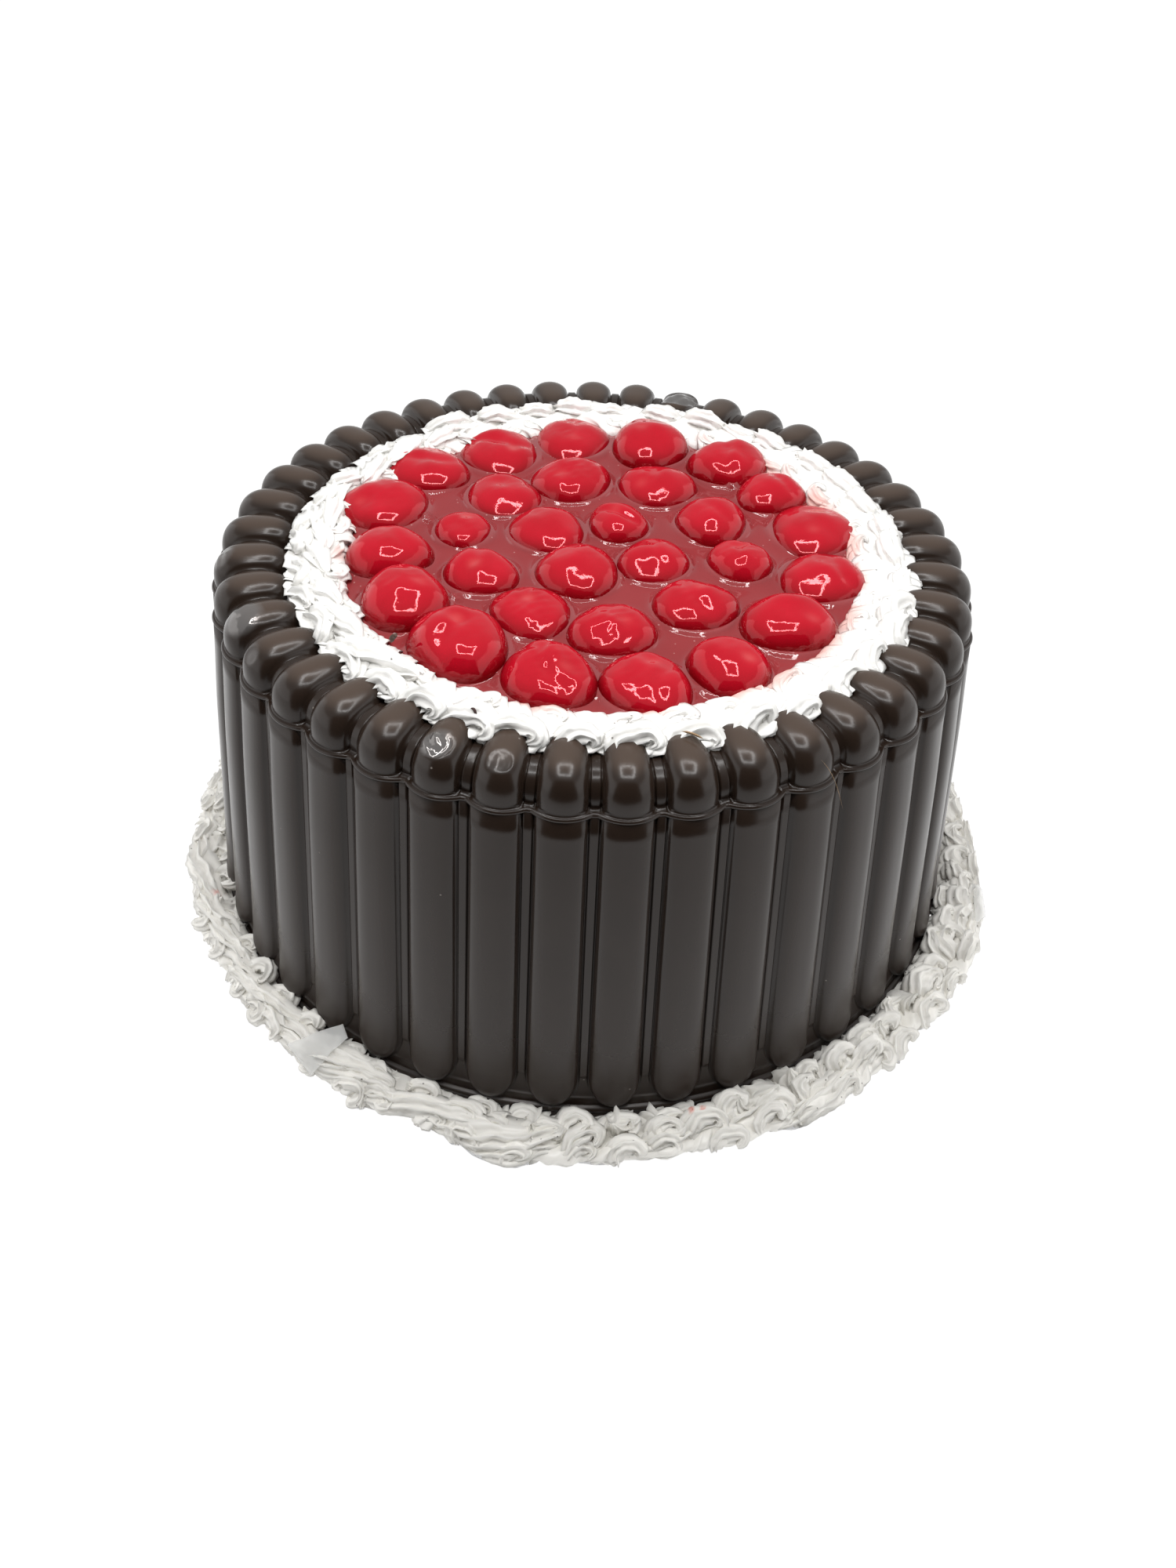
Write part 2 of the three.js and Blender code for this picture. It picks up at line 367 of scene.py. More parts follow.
def cherry_finish():
    """Glazed cherry: wet bright red in soft patches, darker low down by painted shade, and pale
    on its scars.
    """
    paint = Finish("glazed cherry", Roughness=0.06, Metallic=0.12, Specular_IOR_Level=0.3)
    red = paint.cloud(8, 3).blend(*CHERRY_RED)
    red = paint.mark("low_shade").blend(red, SHADED_RED)
    paint.feed("Base Color", paint.mark("scar").blend(red, SCAR_RED))
    paint.relief(paint.cloud(1.3, 2), 0.03)
    return paint.material


def jelly_finish():
    """Clear dark red jelly: soft gloss over a milky dark red, with tiny pale specks, and wetter
    in the collar round each cherry."""
    paint = Finish("jelly", Roughness=0.08, Specular_IOR_Level=0.12, Coat_Roughness=0.05)
    paint.feed("Coat Weight", paint.mark("collar"))
    red = paint.cloud(20, 2).blend(*JELLY_RED)
    specks = paint.specks(2.2, 0.28, 0.4, 5) * 0.5
    paint.feed("Base Color", specks.blend(red, PALE_RED))
    return paint.material


def straw_finish():
    """Dry straw, and dark stalk where the bits aren't pale."""
    paint = Finish("dry straw", Roughness=0.6)
    dark = paint.cloud(3, 2).blend(*DARK_STALK)
    paint.feed("Base Color", paint.mark("pale").blend(dark, STRAW))
    return paint.material


# The chocolate case

# Columns: the strip between them, which widens downward, how far they rise from it and how much
# less under the bead, their spoon-shaped feet, and the shares of half a pitch that a column, and
# a column with its groove, take at the top and gain down to the feet
STRIP_RADIUS = 96.65
WALL_DRAFT = 0.0995
WALL_TOP = -1.1
COLUMN_RISE, TOP_LOSS = 2.45, 0.45
SPOON_TOP = -84.4
SPOON_LENGTH = 9.2
SPOON_END = SPOON_TOP - SPOON_LENGTH
COLUMN_SHARE, COLUMN_GAIN = 0.80, 0.03
GAP_SHARE, GAP_GAIN = 0.875, 0.015
GROOVE = 0.30

# The plinth: the height and radius of its edge from the floor up, its flare above the edge, and
# on it a moulding seam and a ledge between the feet, and two thin lips. The seam and the lips
# are painted as pale, shiny highlight lines on worn edges
PLINTH_EDGE = np.array([
    [-98.0, 108.7], [-96.3, 108.7], [-96.0, 108.6], [-95.8, 108.3], [-95.6, 108.35],
    [-95.3, 108.55], [-94.6, 108.55], [-94.25, 108.4], [-94.0, 108.0], [-93.8, 107.4],
])
PLINTH_TOP = np.array([-93.72, -93.66])
PLINTH_FLARE = 1.2
SEAM_LEVEL, SEAM_HALF, SEAM_HEIGHT = -91.1, 0.3, 0.2
LEDGE_DEPTH = 0.3
UPPER_LIP, LOWER_LIP, LIP_HALF = -94.0, -95.9, 0.15

# The rim: the round bead's radius under a tip and between two, and its own half-width and
# middle; the tips and the strips between them as rounded logs round one circle, with their
# half-width and height; the shares of half a pitch that a tip, and a tip with its groove, take;
# and the radius and height of the top plate's edge
BEAD_RADIUS, BEAD_GAP_RADIUS = 98.45, 96.2
BEAD_HALF, BEAD_MIDDLE = 0.6, -0.75
TIP_RADIUS = 87.5
TIP_HALF, TIP_HEIGHT = 10.6, 10.2
STRIP_HALF, STRIP_HEIGHT = 7.4, 7.4
TIP_SHARE, TIP_GAP_SHARE, TIP_GROOVE = 0.80, 0.855, 0.15
SCALLOP_SHARE = 0.93
PLATE_EDGE = np.array([[77.3, 3.0], [76.0, 2.95]])

# Finger, millimetres beside its middle, radius, height, size, dent, crumple, wear
KNOCKS = [
    [-3, -0.8, 92.2, 9.8, 3.4, 0.2, 1.5, 0.9],
    [-2, 0.0, 93.0, 9.5, 2.6, 0.25, 0.35, 0.12],
    [18, 0.0, 90.0, 10.0, 6.0, 1.2, 0.7, 0.8],
    [-8, 0.0, 93.5, 9.0, 5.0, 0.0, 0.2, 0.8],
    [-10, 0.0, 95.0, 7.5, 3.5, 0.2, 0.4, 0.5],
    [-7, 0.0, 95.5, 7.0, 2.0, 0.5, 0.3, 0.3],
]


def finger_middle(number):
    """The angle of a finger's middle."""
    return FIRST_GAP + (number + 0.5) * PITCH


def finger_places(column_share, gap_share):
    """Signed places across one finger, from -1 to 1 of half the pitch, set close together at
    the finger's edge and its groove. Both shares may change with height."""
    crown = np.linspace(0, 1, 13) ** 0.8
    groove = 1 + np.array([0.3, 0.6, 1.0])
    strip = 2 + np.array([0.25, 0.5, 0.75, 1])
    along = np.concatenate([crown, groove, strip])
    middle = np.zeros(len(column_share))
    knots = np.stack([middle, column_share, gap_share, middle + 1], -1)
    low = np.clip(along.astype(int), 0, 2)
    part = along - low
    half = knots[..., low] * (1 - part) + knots[..., low + 1] * part
    return np.concatenate([half, -half[..., -2:0:-1]], -1)


def finger_angles(shares):
    """The angles of every point round the wall, from the places across one finger. The places
    below 0 are those of the next finger."""
    shares = np.where(shares < 0, shares + 2, shares)
    angle = finger_middle(np.arange(FINGERS))[:, None] + shares[..., None, :] * PITCH / 2
    return angle.reshape(*shares.shape[:-1], -1)


def all_fingers(values):
    """The values across one finger, row by row, repeated for every finger."""
    rows, columns = values.shape[:2]
    wide = np.broadcast_to(values[:, None], (rows, FINGERS, *values.shape[1:]))
    return wide.reshape(rows, FINGERS * columns, *values.shape[2:])


def ribs(share, column_share, gap_share, groove, power):
    """The relief across one finger: 1 on its crown, a groove beside it and 0 on the strip."""
    inside = -groove + (1 + groove) * dome(share / column_share, power)
    beyond = (np.abs(share) - column_share) / (gap_share - column_share)
    outside = -groove * (1 - smooth(0.3, 1.0, beyond))
    return np.where(np.abs(share) < column_share, inside, outside)


def column_wall():
    """Upright fingers with rounded feet on a plinth, each row a ring round the wall. The
    strip's radius grows downward with the draft, and each finger is a superellipse across that
    ends in a spoon. With the points comes the mark of the plinth's thin lines: painted
    highlights on worn edges."""
    spoon = SPOON_TOP - SPOON_LENGTH * np.sin(np.linspace(np.pi / 2 * 0.985, 0, 30))
    body = np.linspace(SPOON_TOP + 0.8, WALL_TOP, 16)
    z = np.concatenate([PLINTH_EDGE[:, 0], PLINTH_TOP, spoon, body])[:, None]
    on_columns = z > SPOON_END
    down = np.clip((SPOON_TOP - z) / SPOON_LENGTH, 0, 1)
    depth = np.clip(z / SPOON_TOP, 0, 1)
    full = COLUMN_SHARE + COLUMN_GAIN * depth
    column = np.where(down > 0, full * np.sqrt(np.maximum(1 - down**2, 0.0004)), full)
    gap = column + (GAP_SHARE + GAP_GAIN * depth - full)
    share = finger_places(column[:, 0], gap[:, 0])
    flare = PLINTH_FLARE * smooth(SPOON_TOP, UPPER_LIP, z)
    strip = STRIP_RADIUS + WALL_DRAFT * -z + np.where(z < SPOON_TOP, flare, 0)
    strip = np.where(z < PLINTH_TOP[0], np.interp(z, *PLINTH_EDGE.T), strip)
    rise = (COLUMN_RISE - TOP_LOSS * smooth(-30, -2, z)) * dome(down) * on_columns
    groove = GROOVE * (1 - 0.5 * smooth(SPOON_TOP, SPOON_TOP - 4, z)) * on_columns
    between = smooth(0.01, 0.05, np.abs(share) - column)
    seam = between * bell(z, SEAM_LEVEL, SEAM_HALF)
    ledge = LEDGE_DEPTH * between * (z < SPOON_TOP)
    relief = rise * ribs(share, column, gap, groove, 2.4)
    radius = strip + relief + SEAM_HEIGHT * seam - ledge
    # Painted highlights: the seam and two lips of the plinth get pale, shiny lines in the wear
    # mark
    lip_highlights = 0.5 * bell(z, UPPER_LIP, LIP_HALF) + 0.4 * bell(z, LOWER_LIP, LIP_HALF)
    angle = finger_angles(share)
    points = around((0, 0), all_fingers(radius) * roundness(angle), angle, z)
    return points, all_fingers(0.6 * seam + lip_highlights) * smooth(-0.9, 0.9, drift(points, 30, 6, 4))


def rounded_log(t, half, height, power):
    """A rounded log's section as radius and height: a superellipse from its outer foot (t = 0)
    over its top."""
    cos, sin = np.cos(t), np.abs(np.sin(t))
    radius = TIP_RADIUS + half * np.sign(cos) * np.abs(cos) ** (2 / power)
    return np.stack([radius, height * sin ** (2 / power)], -1)


def knocked(points):
    """Worn and dented places on some finger tips. Each presses the skin down, crumples it with
    the folds of a fine noise and marks it as worn, inside a soft edge."""
    wear_and_highlight = np.zeros(points.shape[:-1])
    for finger, beside, radius, z, size, dent, crumple, worn in KNOCKS:
        middle = finger_middle(finger)
        place = around((0, 0), radius * roundness(middle), middle + beside / radius, z)
        mask = smooth(1.2, 0.8, np.linalg.norm(points - place, axis=-1) / size)
        fold = np.abs(drift(points, 4.5, 60 + finger, 1)) - 0.4
        points[..., 2] -= mask * (dent - crumple * fold)
        wear_and_highlight = np.maximum(wear_and_highlight, worn * mask)
    return points, wear_and_highlight


def finger_rim():
    """The scalloped bead and the finger tips: each row joins the section of a tip with that of
    the narrow strip between two tips. With the points comes how worn they are."""
    bead_turn = np.radians([-150, -110, -80, -50, -25, 0, 25, 50, 80, 120])
    height = BEAD_HALF * np.sin(bead_turn) + BEAD_MIDDLE
    bead = np.stack([BEAD_HALF * np.cos(bead_turn), height], -1)
    t = np.radians([0.3, 1.5, *np.linspace(4, 150, 40), 156])
    tip = rounded_log(t, TIP_HALF, TIP_HEIGHT, 2.8)
    strip = rounded_log(t, STRIP_HALF, STRIP_HEIGHT, 2.4)
    tip = np.vstack([bead + [BEAD_RADIUS, 0], tip, PLATE_EDGE])[:, None]
    strip = np.vstack([bead + [BEAD_GAP_RADIUS, 0], strip, PLATE_EDGE])[:, None]
    rows = len(tip)
    share = finger_places(np.full(rows, TIP_SHARE), np.full(rows, TIP_GAP_SHARE))
    scallop = np.clip(1 - (share / SCALLOP_SHARE) ** 2, 0, 1)
    relief = ribs(share, TIP_SHARE, TIP_GAP_SHARE, TIP_GROOVE, 2.0)
    on_tips = smooth(len(bead) - 1.5, len(bead) + 0.5, np.arange(rows))[:, None]
    relief = scallop * (1 - on_tips) + relief * on_tips
    section = all_fingers(strip + relief[..., None] * (tip - strip))
    angle = finger_angles(share)
    return knocked(around((0, 0), section[..., 0] * roundness(angle), angle, section[..., 1]))


# Piped rings

# How deep the grooves between a nozzle's teeth are, as a share of a rope's radius
TOOTH_DEPTH = 0.42
WHOLE_RING = (0, 360)

# The part of each lobe's length in which it swells before it drops, and of each shell's
LOBE_SWELL = 0.72
SHELL_SWELL = 0.8

# Red drops on the foot's piping: places in plan from the wall's axis
RED_DROPS = [[30.9, -107.5], [33.9, -106.9], [-106.4, -39.5]]

# Where the foot's piping sways out or in: degrees round the ring, width in degrees, millimetres
SWAYS = [[-52, 12, -1.6], [-18, 6, -1.2], [-7, 8, 3.2], [50, 10, -1.4]]

# The foot's piping: long strokes show at its left, and curls on its crest over the rest. Its
# outer side is stretched from left to right, by a share that grows over a reach of radius, and
# held back beyond a limit at the right. It lies lower on the inside in front.
LEFT_SPAN = (-84, -14)
CREST_SPAN = (-14, 276)
SWAY_REACH = (108, 118)
STRETCH, STRETCH_REACH = 0.024, (108, 116)
RIGHT_LIMIT = 116
FRONT_TURN, FRONT_WIDTH, FRONT_DIP = -0.1, 0.22, 0.34


def uneven_lobes(count, wild, rng):
    """Where each of a ring's lobes starts, counted in lobes: every second one is longer, and
    all vary a little. The last value closes the ring."""
    pair = np.where(np.arange(count + 1) % 2 == 0, 0.12, -0.12) * wild
    starts = np.arange(count + 1) + pair + rng.uniform(-0.2, 0.2, count + 1) * wild
    starts[-1] = starts[0] + count
    return starts


def ruffle(centre, ring, half, lobes, amount, sweep, seed, floor, crown, wild=1.0, fine=0.15):
    """A piped ring of curled lobes as one closed skin. Across the ring the section is half an
    ellipse. Along it each lobe swells slowly, leans forward and drops steeply, and every lobe's
    line sweeps forward from the two edges and runs along the crest. Every second lobe starts a
    new shell, which stands higher. Columns follow the lines, so that each drop stays crisp. With
    the skin comes its grooves' depth, 1 where a lobe has dropped."""
    rng = np.random.default_rng(seed)
    swelling = np.linspace(0, LOBE_SWELL, 9, endpoint=False)
    x = np.concatenate([swelling, np.linspace(LOBE_SWELL, 1, 5, endpoint=False)])
    number = np.repeat(np.arange(lobes), len(x))
    q = number + np.tile(x, lobes)
    place = np.interp(q, np.arange(lobes + 1), uneven_lobes(lobes, wild, rng))
    turn = place * 2 * np.pi / lobes
    w = np.radians([-50, -20, *np.linspace(0, 84, 13), 90])
    w = np.concatenate([w, np.pi - w[-2::-1]])[:, None]
    x = q % 1
    rise = (1 - (1 - np.minimum(x / LOBE_SWELL, 1)) ** 2) ** 0.62
    swell = np.where(x < LOBE_SWELL, rise, ((1 - x) / (1 - LOBE_SWELL)) ** 1.3)
    swell = swell - fine * np.sin(2 * np.pi * x / LOBE_SWELL) ** 2 * (x < LOBE_SWELL)
    k = (q / 2) % 1
    shell = np.where(k < SHELL_SWELL, k / SHELL_SWELL, ((1 - k) / (1 - SHELL_SWELL)) ** 1.5)
    shell = shell * (0.5 + rng.random(lobes // 2))[number // 2]
    outer = (0.5 + 0.9 * rng.random(lobes))[number]
    inner = (0.4 + 0.8 * rng.random(lobes))[number]
    side = np.where(np.cos(w) > 0, outer, inner)
    away = np.abs(np.cos(w))
    rounds = np.outer(rng.integers(2, 9, 4), turn / (2 * np.pi))
    swing = np.sin(2 * np.pi * rounds + rng.uniform(0, 6, (4, 1))).sum(0) / 3
    lift = amount * side * swell * (0.05 + 0.95 * away**1.1)
    lift = lift + 0.5 * amount * shell * (1 - 0.6 * away)
    shells = np.arange(-1, lobes // 2 + 1)
    own = rng.uniform(0.75, 1.25, lobes // 2)[shells % (lobes // 2)]
    edge = np.clip(np.minimum(w, np.pi - w) / (np.pi / 2), 0, 1)
    ahead = sweep * np.interp(q / 2 - 0.5, shells, own) * (0.7 * (1 - away**0.5) + 0.3 * edge)
    ahead = ahead + 1.6 * amount * side * swell**2 * away * (w > 0) * (w < np.pi) / ring
    width = np.sign(np.cos(w)) * away**0.8
    tall = np.sign(np.sin(w)) * np.abs(np.sin(w)) ** 0.8
    low = floor[0] + (floor[1] - floor[0]) * (1 + width) / 2
    high = low + (crown - low + lift * 1.1) * tall
    out = ring + (half + lift) * width + 0.7 * swing * wild
    points = around(centre, out, turn + ahead, high)
    for axis in range(3):
        points[..., axis] += 0.5 * wild * drift(points, 12, seed + axis, 3)
    rows, columns = points.shape[:2]
    skin = points.reshape(-1, 3), grid_faces(rows, columns, True), np.zeros((0, 3), int)
    return skin, np.broadcast_to(smooth(0.6, 0.0, swell), (rows, columns)).ravel()


def ropes(path, over, radius, twist, teeth, seed, uneven=0.6):
    """Ropes of cream swept along paths, given as copies by steps. The section is a circle with
    sharp teeth, turned by the twist along the way, and both ends are closed. With the skin comes
    how deep each point lies between the teeth, from 0 to 1."""
    count, steps = path.shape[:2]
    along = np.gradient(path, axis=1)
    along /= np.linalg.norm(along, axis=2, keepdims=True)
    side = np.cross(over, along)
    side /= np.linalg.norm(side, axis=2, keepdims=True)
    above = np.cross(along, side)
    star = np.linspace(0, 2 * np.pi, teeth * 4, endpoint=False)
    between = np.abs(np.sin(star * teeth / 2)) ** 1.1
    turn = (star + twist[..., None])[..., None]
    reach = (radius[..., None] * (1 - TOOTH_DEPTH * between))[..., None]
    section = above[:, :, None] * np.cos(turn) + side[:, :, None] * np.sin(turn)
    points = path[:, :, None] + reach * section
    for axis in range(3):
        points[..., axis] += uneven * drift(points, 10, seed + axis, 3)
    return capped(points), np.tile(with_ends(np.tile(between, steps), 0.5), count)


def ring_turns(count, span, rng):
    """Angles strewn evenly over the span of a ring, given in degrees."""
    first, last = np.radians(span)
    return first + (np.arange(count) + rng.uniform(-0.25, 0.25, count)) * (last - first) / count


def ring_places(centre, count, radius, level, span, rng):
    """Places round a ring, with the three ways out from its centre, along it and up. A pair of
    numbers is the range of a random value."""
    turn = ring_turns(count, span, rng)
    place = around(centre, rng.uniform(*radius, count), turn, rng.uniform(*level, count))
    flat = np.zeros(count)
    out = np.stack([np.sin(turn), -np.cos(turn), flat], -1)
    along = np.stack([np.cos(turn), np.sin(turn), flat], -1)
    return place[:, None], out[:, None], along[:, None], np.array([0, 0, 1.0])


def rosettes(
    centre, count, radius, level, size, tilt, seed, turns=(0.6, 1.15), teeth=9, thick=0.45,
    horn=0.1, start=(180, 240), curl=0.65, span=WHOLE_RING
):
    """Curls of cream that face outward and up: each rope starts as a horn at its lower left,
    winds inward over its top, and climbs a little toward its middle. A pair of numbers is the
    range of a random value."""
    rng = np.random.default_rng(seed)
    each = (count, 1, 1)
    place, out, along, up = ring_places(centre, count, radius, level, span, rng)
    tilt = np.radians(rng.uniform(*tilt, each))
    facing = out * np.cos(tilt) + up * np.sin(tilt)
    top = up * np.cos(tilt) - out * np.sin(tilt)
    s = np.linspace(0, 1, 36)[None, :, None]
    turns = rng.uniform(*turns, each)
    turn = np.radians(rng.uniform(*start, each)) - 2 * np.pi * turns * s
    size = rng.uniform(*size, each)
    wind = size * (0.62 * (1 - s) ** curl + 0.05 + horn * np.exp(-s / 0.07))
    path = place + wind * (1.12 * np.cos(turn) * along + 0.88 * np.sin(turn) * top)
    path = path + facing * size * 0.35 * s
    thick = size * thick * (1 - 0.4 * s) * np.minimum(1, np.sqrt(s / 0.2 + 0.02))
    thick = (thick * np.minimum(1, np.sqrt((1 - s) / 0.12 + 0.01)))[..., 0]
    over = np.broadcast_to(facing, path.shape)
    return ropes(path, over, thick, np.zeros_like(thick), teeth, seed)


def strokes(centre, count, radius, level, length, size, seed, span):
    """Long strokes of cream along a ring, their ridges running lengthwise: each rope starts low
    on the outer side, swings inward and up, and narrows at both ends. A pair of numbers is the
    range of a random value."""
    rng = np.random.default_rng(seed)
    each = (count, 1)
    s = np.linspace(0, 1, 40)[None, :]
    turn = ring_turns(count, span, rng)[:, None]
    turn = turn + rng.uniform(*length, each) * s / np.mean(radius)
    swing = rng.uniform(-1, 1, each) * np.sin(np.pi * s) + 1.8 * np.cos(np.pi * s)
    height = rng.uniform(*level, each) + 2.2 * smooth(0.1, 0.9, s)
    path = around(centre, rng.uniform(*radius, each) + swing, turn, height)
    size = rng.uniform(*size, each) * (0.1 + 0.9 * np.sin(np.pi * s) ** 0.45)
    twist = rng.uniform(0, 1, each) + 0.8 * s
    return ropes(path, np.broadcast_to([0, 0, 1.0], path.shape), size, twist, 9, seed)


def peaks(centre, count, radius, level, lean, size, height, seed):
    """Star dollops that narrow to a peak, turn about themselves and bend over at the tip. A pair
    of numbers is the range of a random value."""
    rng = np.random.default_rng(seed)
    each = (count, 1, 1)
    place, out, along, up = ring_places(centre, count, radius, level, WHOLE_RING, rng)
    h = np.concatenate([np.linspace(0, 0.84, 15), [0.9, 0.95, 1]])
    height = rng.uniform(*height, each)
    size = rng.uniform(*size, each)
    way = up + out * rng.uniform(*lean, each) + along * rng.uniform(-0.5, 0.3, each)
    bend = along * rng.uniform(-1, 1, each) + out * rng.uniform(-1, 0.6, each)
    climb = h[None, :, None]
    path = place + way * height * climb + bend * 0.35 * size * climb**2.5
    narrow = np.interp(
        h, [0, 0.1, 0.25, 0.45, 0.65, 0.84, 1], [0.86, 1, 0.94, 0.68, 0.36, 0.14, 0.04]
    )
    twist = rng.uniform(0.8, 2.6, (count, 1)) * h
    over = np.broadcast_to(along, path.shape)
    return ropes(path, over, size[..., 0] * narrow, twist, 7, seed)


def top_piping():
    """The piping between the jelly and the finger tips, part by part: a low ruffle, long strokes
    at its left, rosettes whose horns lie on the tips, and flatter curls beside the jelly."""
    ring = ruffle(
        TOP_OFFSET, ring=73.8, half=6.8, lobes=72, amount=1.6, sweep=0.12, seed=21,
        floor=(5.6, 8.0), crown=8.0, wild=0.8, fine=0.3
    )
    crest = strokes(
        TOP_OFFSET, 9, radius=(73.2, 74.8), level=(6.6, 7.4), length=(18, 30), size=(3.6, 4.4),
        seed=26, span=(-150, -45)
    )
    outer = rosettes(
        TOP_OFFSET, 38, radius=(78.0, 79.4), level=(4.7, 6.0), size=(8.2, 9.4), tilt=(40, 62),
        seed=22, turns=(0.4, 0.6), teeth=8, thick=0.46, horn=0.42, start=(185, 215), curl=0.35
    )
    inner = rosettes(
        TOP_OFFSET, 42, radius=(71.2, 72.4), level=(5.6, 6.8), size=(5.6, 7.2), tilt=(85, 110),
        seed=25, turns=(0.35, 0.6), teeth=8, start=(150, 200), curl=0.35
    )
    return {"top_ring": joined(ring, crest), "top_shells": outer, "top_curls": inner}


def over_floor(low, high):
    """A range of heights over the floor, as heights over the bead."""
    return FLOOR + low, FLOOR + high


def settled(part):
    """A part of the foot's piping, swayed and stretched with its ring, lower in front, and
    pressed flat where it meets the floor."""
    (points, quads, triangles), groove = part
    points = points.copy()
    flat = points[:, :2] - AXIS - BASE_OFFSET
    far = np.linalg.norm(flat, axis=1)
    turn = np.arctan2(flat[:, 0], -flat[:, 1])
    push = sum(size * bell(np.degrees(turn), at, wide) for at, wide, size in SWAYS)
    points[:, :2] += flat / far[:, None] * (push * smooth(*SWAY_REACH, far))[:, None]
    points[:, 0] += STRETCH * flat[:, 0] * smooth(*STRETCH_REACH, far)
    points[:, 0] -= 0.5 * np.maximum(0, flat[:, 0] - RIGHT_LIMIT)
    front = bell(turn, FRONT_TURN, FRONT_WIDTH) * smooth(116, 112, far)
    points[:, 2] = np.maximum(points[:, 2], 0) * (1.06 - FRONT_DIP * front)
    return (points, quads, triangles), groove


def base_piping():
    """Larger piping round the foot of the wall, part by part: a low ruffle, long strokes,
    rosettes along its outer side and on its crest, and lobes and peaks against the wall."""
    ring = ruffle(
        BASE_OFFSET, ring=114.0, half=5.6, lobes=64, amount=1.2, sweep=0.06, seed=33,
        floor=over_floor(0.8, 0.8), crown=FLOOR + 2.6, fine=0.5
    )
    left = strokes(
        BASE_OFFSET, 9, radius=(114.5, 116.6), level=over_floor(0.8, 2.0), length=(26, 44),
        size=(3.8, 4.8), seed=44, span=LEFT_SPAN
    )
    under = strokes(
        BASE_OFFSET, 24, radius=(114.5, 116.6), level=over_floor(-1.0, 0.2), length=(26, 44),
        size=(3.8, 4.8), seed=61, span=CREST_SPAN
    )
    outer = rosettes(
        BASE_OFFSET, 60, radius=(117.2, 118.6), level=over_floor(-0.2, 1.0), size=(5.9, 7.4),
        tilt=(25, 60), seed=41, turns=(0.5, 0.9), teeth=8, thick=0.5
    )
    middle = rosettes(
        BASE_OFFSET, 58, radius=(112.8, 115.8), level=over_floor(1.4, 3.4), size=(6.2, 8.0),
        tilt=(35, 80), seed=45, turns=(0.4, 0.85), teeth=8, thick=0.48, span=CREST_SPAN
    )
    lobes = rosettes(
        BASE_OFFSET, 56, radius=(111.0, 113.0), level=over_floor(2.2, 4.2), size=(5.2, 7.0),
        tilt=(50, 90), seed=52, turns=(0.3, 0.7), teeth=7, thick=0.5
    )
    inner = peaks(
        BASE_OFFSET, 70, radius=(110.2, 111.8), level=over_floor(0.4, 2), lean=(0.1, 0.9),
        size=(3.6, 5.0), height=(4, 8.5), seed=47
    )
    parts = {
        "base_ring": joined(ring, left, under), "base_shells": outer, "base_curls": middle,
        "base_lobes": lobes, "base_peaks": inner,
    }
    return {name: settled(part) for name, part in parts.items()}


def jelly_stain(points):
    """Where the jelly has stained the top piping: its inner side, in patches, mostly right."""
    flat = points[:, :2] - AXIS - TOP_OFFSET
    inward = smooth(71.5, 66.5, np.linalg.norm(flat, axis=1))
    return 0.75 * inward * smooth(-0.2, 0.9, drift(points, 16, 12, 3) + 0.8 * flat[:, 0] / 70)


def red_drops(points):
    """1 inside the red drops on the foot's piping, which have soft edges."""
    return smooth(1.1, 0.5, np.min([plan_distance(points, drop) for drop in RED_DROPS], axis=0))


# Cherries and jelly

# How much wider each cherry is than its solid: 16 in the outer ring, then 10, then 4
WIDER = 1.09 * np.array([
    1.11, 1.08, 1.0, 1.1, 1.19, 1.03, 1.14, 1.22, 1.11, 1.14, 1.15, 1.18, 0.99, 1.09, 1.12, 1.03,
    1.0, 1.04, 0.93, 1.0, 0.98, 1.06, 1.17, 1.08, 1.02, 1.09, 1.0, 1.04, 1.09, 1.17,
])

# How deep a cherry's rim is sunk in the jelly; the height and length of its lumps, and the
# length of finer ones; the depth of a dent, and the half-widths of dents, scars and folds
CHERRY_SUNK = 0.8
LUMP_HEIGHT, LUMP_LENGTH, FINE_LENGTH = 0.5, 14, 5
DENT_DEPTH, DENT_HALF, SCAR_HALF = 0.6, 2.0, 1.6
FOLD_HALF = 0.16

# The jelly's radius, the height of its hidden lower edge, and its collar round each cherry
JELLY_RADIUS = 69.6
JELLY_EDGE = 3.2
COLLAR_WIDTH = 0.75

# Bubbles in the jelly: places in plan from the wall's axis, and half-widths
BUBBLES = [[-45.2, 11.3, 2.0], [-34.0, -26.0, 1.7], [38.4, 35.4, 1.8], [-43.5, 9.0, 1.1]]


def cherry_shapes():
    """Each cherry's centre, half-width and rise, from its solid."""
    boxes = np.array([box_mm(name) for name in CHERRIES])
    centre = boxes.mean(1)[:, :2]
    half = (boxes[:, 1] - boxes[:, 0])[:, :2].mean(1) / 2 * WIDER
    rise = boxes[:, 1, 2] + FLOOR - JELLY_LEVEL
    return centre, half, rise


